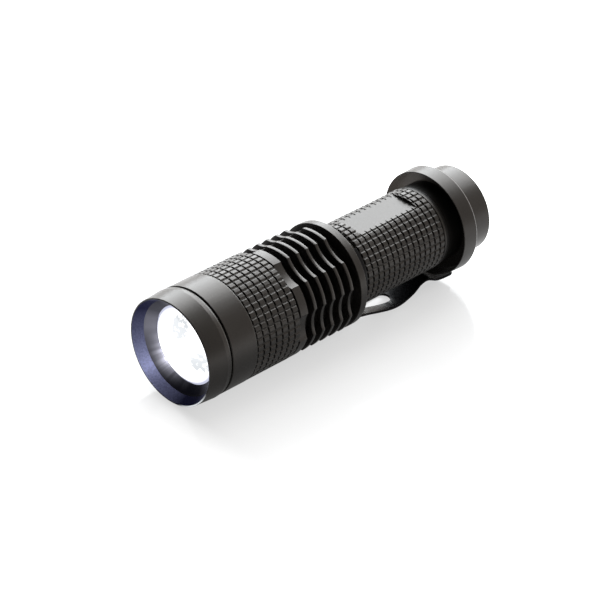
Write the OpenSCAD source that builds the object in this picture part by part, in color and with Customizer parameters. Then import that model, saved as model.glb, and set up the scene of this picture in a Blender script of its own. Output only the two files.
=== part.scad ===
// Zoomable pocket torch for one AA cell.
// It lies on its pocket clip: +Z is up, the beam leaves towards -Y and the tail is at +Y.
// Stations along the torch are distances behind the front lip.

/* [Overall] */
// Length from the front lip to the tail face
body_len = 93.7; // [93.7:0.1:95]
// Radius of the smooth band round the head
head_r = 13.25; // [13.2:0.05:13.5]
// Radius over the knurled battery tube
tube_r = 10.25; // [10.2:0.05:10.4]
// Radial clearance of the parts that slide or turn on each other
run_gap = 0.05; // [0.02:0.01:0.08]

/* [Head] */
// Radius of the front lip
lip_r = 13.0; // [12.9:0.05:13.1]
// Station where the bezel is widest and its bevel begins
bezel_bevel_at = 5.1; // [4.8:0.1:5.4]
// Station of the joint between the bezel and the sleeve
bezel_joint_at = 6.6; // [6.4:0.1:6.8]
// Station where the smooth band ends and the knurl begins
head_knurl_at = 14.45; // [14:0.05:15]
// Station of the sleeve's rear edge
sleeve_end_at = 27.9; // [27.5:0.1:28]
// Rows of knurl along the sleeve
head_rows = 7; // [5:1:9]
// Knurl flats round the sleeve
head_flats = 50; // [40:1:56]
// How far the head slides forward to narrow the beam
zoom_travel = 7; // [5:0.5:7]

/* [Heat sink] */
// Radius of the lobes on the fins
fin_r = 13.15; // [12.9:0.05:13.2]
// Number of thin fins behind the thick one
fin_count = 5; // [3:1:5]
// Thickness of a thin fin
fin_t = 0.88; // [0.7:0.02:1.2]
// Distance from one thin fin to the next
fin_pitch = 2.925; // [2.7:0.005:2.95]
// Number of scallops round the fins
scallop_count = 6; // [4:1:8]
// Radius that a scallop is milled with
scallop_r = 7.45; // [6:0.05:9]
// Distance from the axis to the floor of a scallop
scallop_floor = 11.85; // [11.5:0.05:12.5]
// Radius of the round flange in front of the clip
flange_r = 13.07; // [12.9:0.01:13.1]

/* [Battery tube] */
// Rows of knurl along the tube
tube_rows = 15; // [10:1:18]
// Knurl flats round the tube
tube_flats = 38; // [30:1:44]
// Distance from the axis to the flat on top of the tube
flat_h = 9.4; // [9.2:0.05:9.6]
// Length of the flat along the tube
flat_len = 18.4; // [12:0.2:20]

/* [Tail cap] */
// Radius at the back of the cap's skirt
skirt_r = 13.2; // [13.1:0.05:13.25]
// Radius of the plain end of the cap
cap_r = 10.75; // [10.5:0.05:11]
// How far the switch is pressed
press_travel = 1.2; // [0.8:0.1:1.2]

/* [Pocket clip] */
// Width of the spring steel blade
clip_w = 9.4; // [8:0.1:10]
// Thickness of the steel
clip_t = 0.6; // [0.5:0.05:0.7]
// Width of the slot along the blade
slot_w = 4; // [3.5:0.1:5]
// Degrees of the clip's ring that are open
clip_gap = 70; // [40:5:110]

/* [Cell] */
// Radius of the AA cell
cell_r = 7.1; // [6.9:0.05:7.25]
// Length of the AA cell over its button
cell_len = 50.5; // [49.2:0.1:50.5]

/* [Hidden] */
$fn = 96;
eps = 0.01;

// Lens, its seat and its ring
lens_r = 10.6;
dome_r = 9.5;
dome_rise = 3;
lens_front_at = 4.9;
lens_flange_at = 5.6;
lens_back_at = 7;
gasket_wire_r = 0.35;
gasket_r = 10.25;
seat_r = 10.9;
retainer_bore_r = 9.6;
retainer_t = 1.8;
notch_w = 1.6;
lens_hole_r = dome_r + 0.25;
lens_hole_at = 4.6;

// Bezel: its bright inner bevel, the cone behind it, and its spigot; and the bores of the sleeve
lip_edge_r = 12.6;
bevel_floor_r = 11.6;
bevel_floor_at = 2.7;
cone_r = 11.3;
cone_at = 2.75;
spigot_r = 12.3;
spigot_end_at = 10.6;
joint_gap = 0.35;
sleeve_bore_r = 11.2;
bushing_pocket_r = 11.5;
bushing_at = 24.35;
bushing_end_at = 27.45;
sleeve_lip_r = 10.95;

// Heat sink stations and radii
collar_at = 11.5;
collar_end_at = bushing_at - zoom_travel - 0.1;
neck_r = 10.6;
core_r = 10.4;
first_fin_at = 28.15;
first_fin_end_at = 30.45;
thin_fin_at = 32.37;
flange_at = 47.3;
flange_end_at = 49.25;
collar_r = sleeve_bore_r - 2 * run_gap;
collar_nose_r = 10.7;
seal_at = 14.4;
seal_wire_r = 0.575;
seal_floor_r = 10;
pill_r = 8.6;
pill_seat_at = 23.95;
cell_bore_r = 7.6;
tube_thread_r = 9.15;
tube_front_at = 39;

// Light source and driver, on the pill
pill_front_at = 12.5;
pill_plate_t = 2;
board_t = 1.6;
led_board_r = 8;
emitter_w = 3.45;
emitter_t = 0.7;
led_dome_r = 1.45;
wire_x = 5;
wire_r = 0.45;
wire_hole_r = 0.8;
wire_pad_len = 2.6;
screw_notch_r = 1.6;
pill_wall_t = 1.1;
driver_at = 22.3;
inductor_r = 2.6;
inductor_bore_r = 1;
inductor_t = 2.8;
chip_w = 2.2;
chip_at_r = 3.6;
contact_r = 3;
contact_t = 0.6;

// Battery tube stations
groove_floor_r = 9.6;
tube_knurl_at = 52.6;
tube_knurl_end_at = 78.4;
tube_band_end_at = 79.6;
tube_end_at = 84.6;
tube_mouth_r = 9.95;
flat_at = 56;
cap_thread_r = 8.9;
thread_at = 79.2;
thread_run_in = 1;
thread_half_w = 0.25;
seal_pocket_at = 83.35;
seal_pocket_r = 9.35;

// Knurl and thread grooves
knurl_depth = 0.32;
knurl_half_w = 0.23;
thread_pitch = 0.8;
thread_depth = 0.3;

// Tail cap and switch stations
skirt_front_at = 82;
skirt_front_r = 13.05;
skirt_end_at = 86.4;
cavity_floor_at = 84.8;
cap_bore_r = 7.75;
cap_spigot_at = 79.5;
cap_wall_at = 91.9;
boot_hole_r = 6.2;
tail_seal_r = 8.85;
tail_seal_wire_r = 0.45;
seal_groove_r = 8.35;
seal_groove_w = 1.2;
switch_ring_at = 84;
switch_ring_r = 6.1;
key_hole_at_r = 6.9;
key_hole_r = 0.45;
switch_board_at = 85.3;
carrier_at = 86.9;
carrier_end_at = 91.1;
housing_w = 8;
housing_end_at = 89.9;
plunger_r = 1.95;
plunger_depth = 0.4;
boot_pad_at = 91.6;
boot_pad_r = 5.7;
boot_top_at = 93.3;

// Cell stations
cell_nub_at = 28;
cell_can_at = 29.3;
cell_end_at = cell_nub_at + cell_len;
nub_r = 2.7;
base_r = 5.2;
base_t = 0.2;

// Clip: ring station, and the middle of the blade as [station, distance below the axis]
clip_ring_at = 49.35;
clip_ring_end_at = 52.3;
riser_h = 1.6;
clip_tip_at = 88.6;
clip_path = [
  [49.65, 11.3], [50.6, 11.75], [53, 12.1], [58.75, 13.36], [63, 14.5], [66.5, 15.35],
  [68.9, 15.65], [70.8, 15.55], [72.5, 15.15], [74.6, 14.4], [75.8, 13.7], [76.8, 13],
  [78.3, 12.55], [79.6, 12.6], [81, 13.15], [82, 13.65], [83.2, 14.05], [84.8, 14.3],
  [86.8, 14.45], [clip_tip_at, 14.45]
];
clip_steps = 4;
slot_at = 52.4;
slot_end_at = 70.6;
tip_corner_r = 1.2;

// The torch's axis stands this high above the lowest point of the clip
axis_h = max([for (p = clip_path) p[1]]) + clip_t / 2;

// Colours
black_metal = [0.09, 0.085, 0.08];
spring_black = [0.05, 0.05, 0.055];
brass_colour = [0.78, 0.62, 0.3];
rubber_black = [0.03, 0.03, 0.03];
steel_colour = [0.72, 0.73, 0.75];
board_green = [0.08, 0.3, 0.14];

// ---- Helpers ----

// Puts a shape that is built along +Z from the lip in its place, with its -Y side up
module placed() {
  translate([0, -body_len / 2, axis_h]) rotate([-90, 0, 0]) children();
}

// A turned piece from its half section, as [radius, station] points
module turned(section) {
  rotate_extrude() polygon(section);
}

// A plain ring or disc between two stations
module ring(inner_r, outer_r, from_at, to_at) {
  turned([[inner_r, from_at], [outer_r, from_at], [outer_r, to_at], [inner_r, to_at]]);
}

// An O-ring of round section
module o_ring(middle_r, wire, at) {
  translate([0, 0, at]) rotate_extrude() translate([middle_r, 0]) circle(r = wire, $fn = 40);
}

// Points of one V groove cut inwards from radius r
function groove(r, at, half_w, depth) = [[r, at - half_w], [r - depth, at], [r, at + half_w]];

// Middle of the steps that divide a stretch into equal rows, its two ends left out
function row_lines(from_at, to_at, rows) =
  [for (i = [1:rows - 1]) from_at + (to_at - from_at) * i / rows];

// Straight V cuts along the torch, evenly round it
module axial_cuts(r, count, from_at, to_at) {
  side = knurl_depth * sqrt(2);
  for (i = [0:count - 1])
    rotate((i + 0.5) * 360 / count) translate([0, -r, from_at])
      rotate(45) translate([-side / 2, -side / 2, 0]) cube([side, side, to_at - from_at]);
}

// Point on a smooth curve through four neighbours, at fraction t from b to c
function curve_point(a, b, c, d, t) =
  0.5 * (2 * b + (c - a) * t + (2 * a - 5 * b + 4 * c - d) * t * t
  + (3 * b - a - 3 * c + d) * t * t * t);

// A smooth curve through all points of a path
function smooth(path, steps) = let (last = len(path) - 1) [
  for (i = [0:last - 1])
    for (k = [0:steps - 1])
      curve_point(path[max(i - 1, 0)], path[i], path[i + 1], path[min(i + 2, last)], k / steps),
  path[last]
];

// The path moved sideways by a distance
function moved(path, by) = let (last = len(path) - 1) [
  for (i = [0:last]) let (
    along = path[min(i + 1, last)] - path[max(i - 1, 0)],
    unit = along / norm(along)
  ) path[i] + by * [-unit[1], unit[0]]
];

// One ring of points round a coil's wire
function wire_ring(r, z, angle, wire, sides) = [
  for (k = [0:sides - 1]) let (a = 360 * k / sides)
    [(r + wire * cos(a)) * cos(angle), (r + wire * cos(a)) * sin(angle), z + wire * sin(a)]
];

// A coil spring whose radius changes evenly from r1 to r2
module coil(r1, r2, from_at, to_at, turns, wire) {
  sides = 8;
  steps = turns * 16;
  rings = [for (i = [0:steps]) wire_ring(
    r1 + (r2 - r1) * i / steps,
    from_at + wire + (to_at - from_at - 2 * wire) * i / steps,
    360 * i / 16, wire, sides)];
  points = [for (one = rings) each one];
  sides_faces = [for (i = [0:steps - 1]) for (k = [0:sides - 1]) let (n = (k + 1) % sides)
    [i * sides + k, i * sides + n, (i + 1) * sides + n, (i + 1) * sides + k]];
  first = [for (k = [sides - 1:-1:0]) k];
  last = [for (k = [0:sides - 1]) steps * sides + k];
  polyhedron(points, concat([first], sides_faces, [last]), convexity = 6);
}

// ---- Head ----

module bezel_ring() {
  color(black_metal) placed() turned([
    [lip_edge_r, 0], [lip_r, 0], [head_r + 0.1, bezel_bevel_at], [head_r - 0.1, bezel_joint_at],
    [spigot_r, bezel_joint_at], [spigot_r, spigot_end_at], [seat_r, spigot_end_at],
    [seat_r, lens_front_at], [lens_hole_r, lens_front_at], [lens_hole_r, lens_hole_at],
    [cone_r, cone_at], [bevel_floor_r, bevel_floor_at]
  ]);
}

module lens_gasket() {
  color(rubber_black) placed() o_ring(gasket_r, gasket_wire_r, lens_flange_at - gasket_wire_r);
}

module lens() {
  ball_r = (dome_r * dome_r + dome_rise * dome_rise) / (2 * dome_rise);
  color([0.95, 0.97, 1, 0.6]) placed() {
    intersection() {
      translate([0, 0, lens_front_at - dome_rise + ball_r]) sphere(r = ball_r, $fn = 160);
      translate([0, 0, lens_front_at - dome_rise - 1])
        cylinder(r = dome_r, h = lens_back_at - lens_front_at + dome_rise + 1);
    }
    ring(dome_r - 1, lens_r, lens_flange_at, lens_back_at);
  }
}

module lens_retainer() {
  color(black_metal) placed() difference() {
    ring(retainer_bore_r, seat_r, lens_back_at, lens_back_at + retainer_t);
    translate([-seat_r - 1, -notch_w / 2, lens_back_at + retainer_t / 2])
      cube([2 * seat_r + 2, notch_w, retainer_t]);
  }
}

module head_sleeve() {
  front_at = bezel_joint_at + joint_gap;
  lines = row_lines(head_knurl_at, sleeve_end_at, head_rows);
  knurl_r = head_r - 0.05;
  color(black_metal) placed() difference() {
    turned(concat(
      [[spigot_r, front_at], [head_r - 0.15, front_at], [head_r, front_at + 0.2],
       [head_r, head_knurl_at - 0.25]],
      [[knurl_r - knurl_depth, head_knurl_at - 0.1], [knurl_r - knurl_depth, head_knurl_at + 0.1],
       [knurl_r, head_knurl_at + 0.25]],
      [for (at = lines) each groove(knurl_r, at, knurl_half_w, knurl_depth)],
      [[knurl_r, sleeve_end_at - 0.2], [knurl_r - 0.2, sleeve_end_at], [sleeve_lip_r, sleeve_end_at],
       [sleeve_lip_r, bushing_end_at + run_gap], [bushing_pocket_r, bushing_end_at + run_gap],
       [bushing_pocket_r, bushing_at - run_gap], [sleeve_bore_r, bushing_at - run_gap],
       [sleeve_bore_r, spigot_end_at], [spigot_r, spigot_end_at]]
    ));
    axial_cuts(knurl_r, head_flats, head_knurl_at, sleeve_end_at + 1);
  }
}

module slide_bushing() {
  color([0.85, 0.85, 0.82]) placed()
    ring(neck_r + run_gap, bushing_pocket_r - run_gap, bushing_at, bushing_end_at);
}

// ---- Barrel ----

module heat_sink() {
  thin_fins = [for (i = [0:fin_count - 1]) let (at = thin_fin_at + i * fin_pitch) each
    [[core_r, at], [fin_r, at], [fin_r, at + fin_t], [core_r, at + fin_t]]];
  seal_half_w = seal_wire_r + 0.2;
  color(black_metal) placed() difference() {
    turned(concat(
      [[pill_r, collar_at], [collar_nose_r, collar_at], [collar_r, collar_at + 0.4],
       [collar_r, seal_at - seal_half_w], [seal_floor_r, seal_at - seal_half_w],
       [seal_floor_r, seal_at + seal_half_w], [collar_r, seal_at + seal_half_w],
       [collar_r, collar_end_at], [neck_r, collar_end_at],
       [neck_r, first_fin_at], [fin_r, first_fin_at],
       [fin_r, first_fin_end_at], [core_r, first_fin_end_at]],
      thin_fins,
      [[core_r, flange_at], [flange_r - 0.15, flange_at], [flange_r, flange_at + 0.15],
       [flange_r, flange_end_at - 0.15], [flange_r - 0.15, flange_end_at],
       [tube_thread_r, flange_end_at], [tube_thread_r, tube_front_at], [cell_bore_r, tube_front_at],
       [cell_bore_r, pill_seat_at], [pill_r, pill_seat_at]]
    ));
    for (i = [0:scallop_count - 1])
      rotate((i + 0.5) * 360 / scallop_count)
        translate([0, -scallop_floor - scallop_r, first_fin_at - 1])
        cylinder(r = scallop_r, h = flange_at - first_fin_at + 0.5);
  }
}

module head_seal() {
  color(rubber_black) placed() o_ring(seal_floor_r + seal_wire_r, seal_wire_r, seal_at);
}

module led_pill() {
  wall_r = pill_r - pill_wall_t;
  color(brass_colour) placed() difference() {
    turned([
      [0, pill_front_at], [pill_r, pill_front_at], [pill_r, pill_seat_at],
      [led_board_r + 0.1, pill_seat_at], [led_board_r + 0.1, driver_at], [wall_r, driver_at],
      [wall_r, pill_front_at + pill_plate_t], [0, pill_front_at + pill_plate_t]
    ]);
    for (side = [-1, 1])
      translate([side * wire_x, 0, pill_front_at - 1])
        cylinder(r = wire_hole_r, h = pill_plate_t + 2);
  }
}

module led_board() {
  color([0.92, 0.92, 0.9]) placed() difference() {
    translate([0, 0, pill_front_at - board_t]) cylinder(r = led_board_r, h = board_t);
    for (side = [-1, 1])
      translate([side * wire_x, 0, pill_front_at - board_t - 1])
        cylinder(r = wire_hole_r, h = board_t + 2);
    for (i = [0:5])
      rotate(i * 60 + 30) translate([led_board_r, 0, pill_front_at - board_t - 1])
        cylinder(r = screw_notch_r, h = board_t + 2);
  }
}

module led_emitter() {
  top = pill_front_at - board_t;
  color([0.95, 0.9, 0.6]) placed()
    translate([-emitter_w / 2, -emitter_w / 2, top - emitter_t])
      cube([emitter_w, emitter_w, emitter_t]);
}

module led_dome() {
  base = pill_front_at - board_t - emitter_t;
  color([1, 1, 0.85, 0.6]) placed() intersection() {
    translate([0, 0, base]) sphere(r = led_dome_r, $fn = 48);
    translate([-2, -2, base - 3]) cube([4, 4, 3]);
  }
}

// A wire from the driver, through the pill and the board, to its pad beside the emitter
module led_wire(side) {
  top = pill_front_at - board_t - wire_r;
  placed() {
    translate([side * wire_x, 0, top]) cylinder(r = wire_r, h = driver_at - top, $fn = 32);
    translate([side * wire_x, 0, top]) rotate([0, -side * 90, 0])
      cylinder(r = wire_r, h = wire_pad_len, $fn = 32);
    translate([side * wire_x, 0, top]) sphere(r = wire_r, $fn = 32);
  }
}

module led_wire_red() { color([0.7, 0.05, 0.05]) led_wire(1); }

module led_wire_black() { color([0.05, 0.05, 0.05]) led_wire(-1); }

module driver_board() {
  color(board_green) placed()
    translate([0, 0, driver_at]) cylinder(r = led_board_r, h = board_t);
}

module driver_inductor() {
  color([0.2, 0.2, 0.2]) placed() ring(inductor_bore_r, inductor_r, driver_at - inductor_t, driver_at);
}

// Four chips round the inductor, each a little smaller than the one before
module driver_parts() {
  color([0.12, 0.12, 0.12]) placed() for (i = [0:3]) {
    w = chip_w - 0.3 * i;
    rotate(45 + i * 90) translate([chip_at_r, -w / 2, driver_at - 1]) cube([w - 0.2, w, 1]);
  }
}

module driver_contact() {
  color(brass_colour) placed()
    translate([0, 0, driver_at + board_t]) cylinder(r = contact_r, h = contact_t);
}

module driver_spring() {
  color(steel_colour) placed()
    coil(2.3, 1.7, driver_at + board_t + contact_t, cell_nub_at, 3, 0.25);
}

module battery_tube() {
  lines = row_lines(tube_knurl_at, tube_knurl_end_at, tube_rows);
  bore_r = cap_thread_r + run_gap;
  threads = floor((seal_pocket_at - thread_at - thread_run_in) / thread_pitch);
  thread_cuts = [for (i = [threads - 1:-1:0])
    let (at = thread_at + thread_run_in + i * thread_pitch)
    each [[bore_r, at + thread_half_w], [bore_r + thread_depth, at], [bore_r, at - thread_half_w]]];
  color(black_metal) placed() difference() {
    turned(concat(
      [[cell_bore_r, tube_front_at], [tube_thread_r, tube_front_at],
       [tube_thread_r, flange_end_at], [groove_floor_r, flange_end_at],
       [groove_floor_r, tube_knurl_at], [tube_r, tube_knurl_at]],
      [for (at = lines) each groove(tube_r, at, knurl_half_w, knurl_depth)],
      [[tube_r, tube_knurl_end_at - 0.1], [tube_r - 0.1, tube_knurl_end_at],
       [tube_r - 0.1, tube_band_end_at], [tube_mouth_r, tube_band_end_at + 0.3],
       [tube_mouth_r, tube_end_at], [seal_pocket_r, tube_end_at],
       [seal_pocket_r, seal_pocket_at], [bore_r, seal_pocket_at]],
      thread_cuts,
      [[bore_r, thread_at], [cell_bore_r, thread_at]]
    ));
    axial_cuts(tube_r, tube_flats, tube_knurl_at - 1, tube_knurl_end_at);
    translate([-tube_r, -tube_r - 1, flat_at]) cube([2 * tube_r, tube_r + 1 - flat_h, flat_len]);
  }
}

// ---- Pocket clip ----

// The blade seen from above, with its slot and its round tip
module blade_plan() {
  blade_len = clip_tip_at - clip_ring_at;
  difference() {
    union() {
      translate([-clip_w / 2, clip_ring_at]) square([clip_w, blade_len - tip_corner_r]);
      translate([-clip_w / 2 + tip_corner_r, clip_ring_at])
        square([clip_w - 2 * tip_corner_r, blade_len]);
      for (side = [-1, 1])
        translate([side * (clip_w / 2 - tip_corner_r), clip_ring_at + blade_len - tip_corner_r])
          circle(r = tip_corner_r);
    }
    translate([-slot_w / 2, slot_at + slot_w / 2])
      square([slot_w, slot_end_at - slot_at - slot_w]);
    for (at = [slot_at, slot_end_at - slot_w])
      translate([0, at + slot_w / 2]) circle(r = slot_w / 2);
  }
}

module pocket_clip() {
  middle = smooth(clip_path, clip_steps);
  inner = moved(middle, -clip_t / 2);
  outline = concat(moved(middle, clip_t / 2), [for (i = [len(inner) - 1:-1:0]) inner[i]]);
  below = max([for (p = clip_path) p[1]]) + 1;
  ring_in_r = groove_floor_r + run_gap;
  ring_out_r = tube_r + 0.05;
  color(spring_black) placed() {
    intersection() {
      rotate([90, 0, 90]) translate([0, 0, -clip_w / 2])
        linear_extrude(clip_w) polygon([for (p = outline) [p[1], p[0]]]);
      translate([0, below, 0]) rotate([90, 0, 0]) linear_extrude(below) blade_plan();
    }
    translate([-clip_w / 2, ring_in_r + 0.35, clip_ring_at]) cube([clip_w, riser_h, clip_t]);
    difference() {
      ring(ring_in_r, ring_out_r, clip_ring_at, clip_ring_end_at);
      translate([0, 0, clip_ring_at - 1]) linear_extrude(clip_ring_end_at - clip_ring_at + 2)
        polygon([[0, 0], 2 * tube_r * [-sin(clip_gap / 2), -cos(clip_gap / 2)],
          2 * tube_r * [sin(clip_gap / 2), -cos(clip_gap / 2)]]);
    }
  }
}

// ---- Cell ----

module battery_cell() {
  color([0.15, 0.3, 0.45]) placed() turned([
    [0, cell_can_at], [cell_r - 0.8, cell_can_at], [cell_r - 0.4, cell_can_at + 0.2],
    [cell_r, cell_can_at + 0.7], [cell_r, cell_end_at - 0.7],
    [cell_r - 0.5, cell_end_at - base_t], [0, cell_end_at - base_t]
  ]);
}

module battery_nub() {
  color(steel_colour) placed() turned([
    [0, cell_nub_at], [nub_r - 0.4, cell_nub_at], [nub_r, cell_nub_at + 0.4],
    [nub_r, cell_can_at], [0, cell_can_at]
  ]);
}

module battery_base() {
  color(steel_colour) placed() ring(0, base_r, cell_end_at - base_t, cell_end_at);
}

// ---- Tail cap and switch ----

module tail_seal() {
  color(rubber_black) placed() o_ring(tail_seal_r, tail_seal_wire_r, seal_pocket_at + seal_groove_w / 2);
}

module tail_cap() {
  threads = floor((seal_pocket_at - cap_spigot_at - thread_run_in) / thread_pitch);
  color(black_metal) placed() turned(concat(
    [[cap_bore_r, cap_spigot_at], [cap_thread_r - 0.3, cap_spigot_at],
     [cap_thread_r, cap_spigot_at + 0.3]],
    [for (i = [0:threads - 1]) let (at = cap_spigot_at + thread_pitch * (i + 1))
      each groove(cap_thread_r, at, thread_half_w, thread_depth)],
    [[cap_thread_r, seal_pocket_at], [seal_groove_r, seal_pocket_at],
     [seal_groove_r, seal_pocket_at + seal_groove_w], [cap_thread_r, seal_pocket_at + seal_groove_w],
     [cap_thread_r, cavity_floor_at],
     [skirt_front_r - 0.75, cavity_floor_at], [skirt_front_r - 0.2, skirt_front_at],
     [skirt_front_r, skirt_front_at], [skirt_r, skirt_end_at - 0.2], [skirt_r - 0.2, skirt_end_at],
     [cap_r + 0.2, skirt_end_at], [cap_r, skirt_end_at + 0.2], [cap_r, body_len - 0.5],
     [cap_r - 0.15, body_len - 0.15], [cap_r - 0.5, body_len], [boot_hole_r + 0.4, body_len],
     [boot_hole_r, body_len - 0.4], [boot_hole_r, cap_wall_at], [cap_bore_r, cap_wall_at]]
  ));
}

module switch_retainer() {
  color(steel_colour) placed() difference() {
    ring(switch_ring_r, cap_bore_r, switch_ring_at, switch_board_at);
    for (side = [-1, 1])
      translate([side * key_hole_at_r, 0, switch_ring_at - 1])
        cylinder(r = key_hole_r, h = 3, $fn = 24);
  }
}

module switch_board() {
  color(board_green) placed()
    translate([0, 0, switch_board_at]) cylinder(r = cap_bore_r - 0.1, h = carrier_at - switch_board_at);
}

module tail_spring() {
  color(brass_colour) placed() coil(3.2, 5, cell_end_at, switch_board_at, 4, 0.35);
}

module switch_carrier() {
  pocket_w = housing_w + 0.3;
  color([0.9, 0.9, 0.88]) placed() difference() {
    ring(0, cap_bore_r - 0.1, carrier_at, carrier_end_at);
    translate([-pocket_w / 2, -pocket_w / 2, carrier_at - 1])
      cube([pocket_w, pocket_w, housing_end_at - carrier_at + 1]);
    translate([0, 0, housing_end_at - eps]) cylinder(r = boot_hole_r, h = 2);
  }
}

module switch_housing() {
  color([0.15, 0.15, 0.16]) placed() difference() {
    translate([-housing_w / 2, -housing_w / 2, carrier_at])
      cube([housing_w, housing_w, housing_end_at - carrier_at]);
    translate([0, 0, housing_end_at - plunger_depth - press_travel - 0.1])
      cylinder(r = plunger_r + run_gap, h = 2);
  }
}

module boot_rim() {
  color(rubber_black) placed() ring(boot_pad_r + 0.25, cap_bore_r - 0.1, carrier_end_at, cap_wall_at);
}

module switch_plunger() {
  color([0.85, 0.2, 0.15]) placed()
    translate([0, 0, housing_end_at - plunger_depth])
      cylinder(r = plunger_r, h = boot_pad_at - housing_end_at + plunger_depth);
}

module switch_boot() {
  color(rubber_black) placed() turned([
    [0, boot_pad_at], [boot_pad_r, boot_pad_at], [boot_pad_r, boot_top_at - 0.5],
    [boot_pad_r - 0.3, boot_top_at - 0.15], [boot_pad_r - 0.8, boot_top_at], [0, boot_top_at]
  ]);
}

bezel_ring();
lens_gasket();
lens();
lens_retainer();
head_sleeve();
slide_bushing();
heat_sink();
head_seal();
led_pill();
led_board();
led_emitter();
led_dome();
led_wire_red();
led_wire_black();
driver_board();
driver_inductor();
driver_parts();
driver_contact();
driver_spring();
battery_tube();
pocket_clip();
battery_cell();
battery_nub();
battery_base();
tail_seal();
tail_cap();
switch_retainer();
switch_board();
tail_spring();
switch_carrier();
switch_housing();
boot_rim();
switch_plunger();
switch_boot();
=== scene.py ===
"""Looks for a zoomable one-cell pocket torch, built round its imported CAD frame.

Lengths are in millimetres until a mesh is made. Stations are distances behind the front lip, as in the CAD.
Angles go round the torch's axis, in degrees, from straight up towards +X.
"""

import math

import bmesh
import bpy
from mathutils import Matrix, Vector


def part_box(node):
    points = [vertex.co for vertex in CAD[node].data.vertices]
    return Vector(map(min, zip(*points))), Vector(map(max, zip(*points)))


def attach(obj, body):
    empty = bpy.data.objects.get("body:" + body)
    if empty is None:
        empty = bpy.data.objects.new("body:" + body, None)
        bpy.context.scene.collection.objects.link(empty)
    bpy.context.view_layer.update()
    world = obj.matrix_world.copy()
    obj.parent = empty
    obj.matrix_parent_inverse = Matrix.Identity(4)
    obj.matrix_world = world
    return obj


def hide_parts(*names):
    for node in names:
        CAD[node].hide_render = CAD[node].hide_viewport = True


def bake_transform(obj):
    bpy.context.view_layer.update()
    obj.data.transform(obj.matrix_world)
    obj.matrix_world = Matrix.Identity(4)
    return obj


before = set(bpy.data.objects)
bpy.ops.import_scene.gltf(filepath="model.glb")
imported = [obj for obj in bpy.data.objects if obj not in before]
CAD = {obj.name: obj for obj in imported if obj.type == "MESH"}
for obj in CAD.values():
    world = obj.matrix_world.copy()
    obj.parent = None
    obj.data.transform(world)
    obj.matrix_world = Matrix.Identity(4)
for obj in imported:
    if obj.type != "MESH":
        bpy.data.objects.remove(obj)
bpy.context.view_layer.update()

MM = 0.001

# ---- Where the torch lies, and its driving sizes, from the frame ----

BEZEL_LOW, BEZEL_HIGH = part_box("bezel_ring")
LIP_Y = BEZEL_LOW.y
AXIS_Z = (BEZEL_LOW.z + BEZEL_HIGH.z) / 2
BODY_LENGTH = (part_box("tail_cap")[1].y - LIP_Y) / MM
BEZEL_R = (BEZEL_HIGH.x - BEZEL_LOW.x) / 2 / MM
HEAD_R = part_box("head_sleeve")[1].x / MM
TUBE_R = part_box("battery_tube")[1].x / MM
SKIRT_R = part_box("tail_cap")[1].x / MM
CELL_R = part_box("battery_cell")[1].x / MM


def station(node, end):
    """Station of a node's front (0) or back (1)."""
    return (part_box(node)[end].y - LIP_Y) / MM


SLEEVE_END = station("head_sleeve", 1)
TUBE_END = station("battery_tube", 1)
CAN_FRONT = station("battery_cell", 0)
CELL_END = station("battery_base", 1)
BOOT_TOP = station("switch_boot", 1)


def spot(r, angle, s):
    """The point at radius r, at an angle from straight up, at a station."""
    a = math.radians(angle)
    return Vector((r * math.sin(a) * MM, LIP_Y + s * MM, AXIS_Z + r * math.cos(a) * MM))


# ---- Mesh helpers ----

SMOOTH_BELOW = 38
TURN_STEPS = 168
WELD = 1e-7
ON_AXIS = 1e-6
LEAST_TURN = math.radians(8)
MOST_TURN = 2.6
LEAST_REACH = 0.004
REACH_SHARE = 0.35
HOLD = 0.06
HOLD_SHARE = 0.1


def rounded(section, radius=0.1, steps=3, closed=True):
    """A section of (radius, station) points with its corners rounded, and a holding point beside each arc."""
    out = []
    count = len(section)
    for i, point in enumerate(section):
        here = Vector(point)
        if not closed and i in (0, count - 1):
            out.append(point)
            continue
        before = Vector(section[i - 1]) - here
        after = Vector(section[(i + 1) % count]) - here
        turn = math.pi - before.angle(after)
        shorter = REACH_SHARE * min(before.length, after.length)
        reach = min(radius * math.tan(min(turn, MOST_TURN) / 2), shorter)
        if turn < LEAST_TURN or reach < LEAST_REACH or here.x < ON_AXIS:
            out.append(point)
            continue
        start = here + before.normalized() * reach
        end = here + after.normalized() * reach
        hold = min(HOLD, HOLD_SHARE * before.length, HOLD_SHARE * after.length)
        out.append(tuple(start + before.normalized() * hold))
        for k in range(steps + 1):
            t = k / steps
            out.append(tuple(start * (1 - t) ** 2 + here * 2 * t * (1 - t) + end * t * t))
        out.append(tuple(end + after.normalized() * hold))
    return out


def shade(mesh, smooth_below):
    """Smooth shading, with sharp edges where the faces turn by more than smooth_below degrees."""
    for polygon in mesh.polygons:
        polygon.use_smooth = True
    mesh.set_sharp_from_angle(angle=math.radians(smooth_below))


def placed(name, data):
    """A new object in the scene."""
    obj = bpy.data.objects.new(name, data)
    bpy.context.scene.collection.objects.link(obj)
    return obj


def finish_mesh(name, bm, smooth_below=SMOOTH_BELOW):
    """A clean, shaded object from a bmesh."""
    bmesh.ops.remove_doubles(bm, verts=bm.verts, dist=WELD)
    bmesh.ops.dissolve_degenerate(bm, edges=bm.edges, dist=WELD)
    bmesh.ops.recalc_face_normals(bm, faces=bm.faces)
    mesh = bpy.data.meshes.new(name)
    bm.to_mesh(mesh)
    bm.free()
    shade(mesh, smooth_below)
    return placed(name, mesh)


def bridge(bm, rings):
    """Joins each ring of points to the next with a band of faces."""
    for one, two in zip(rings, rings[1:]):
        for k in range(len(one)):
            n = (k + 1) % len(one)
            bm.faces.new((one[k], one[n], two[n], two[k]))


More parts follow.
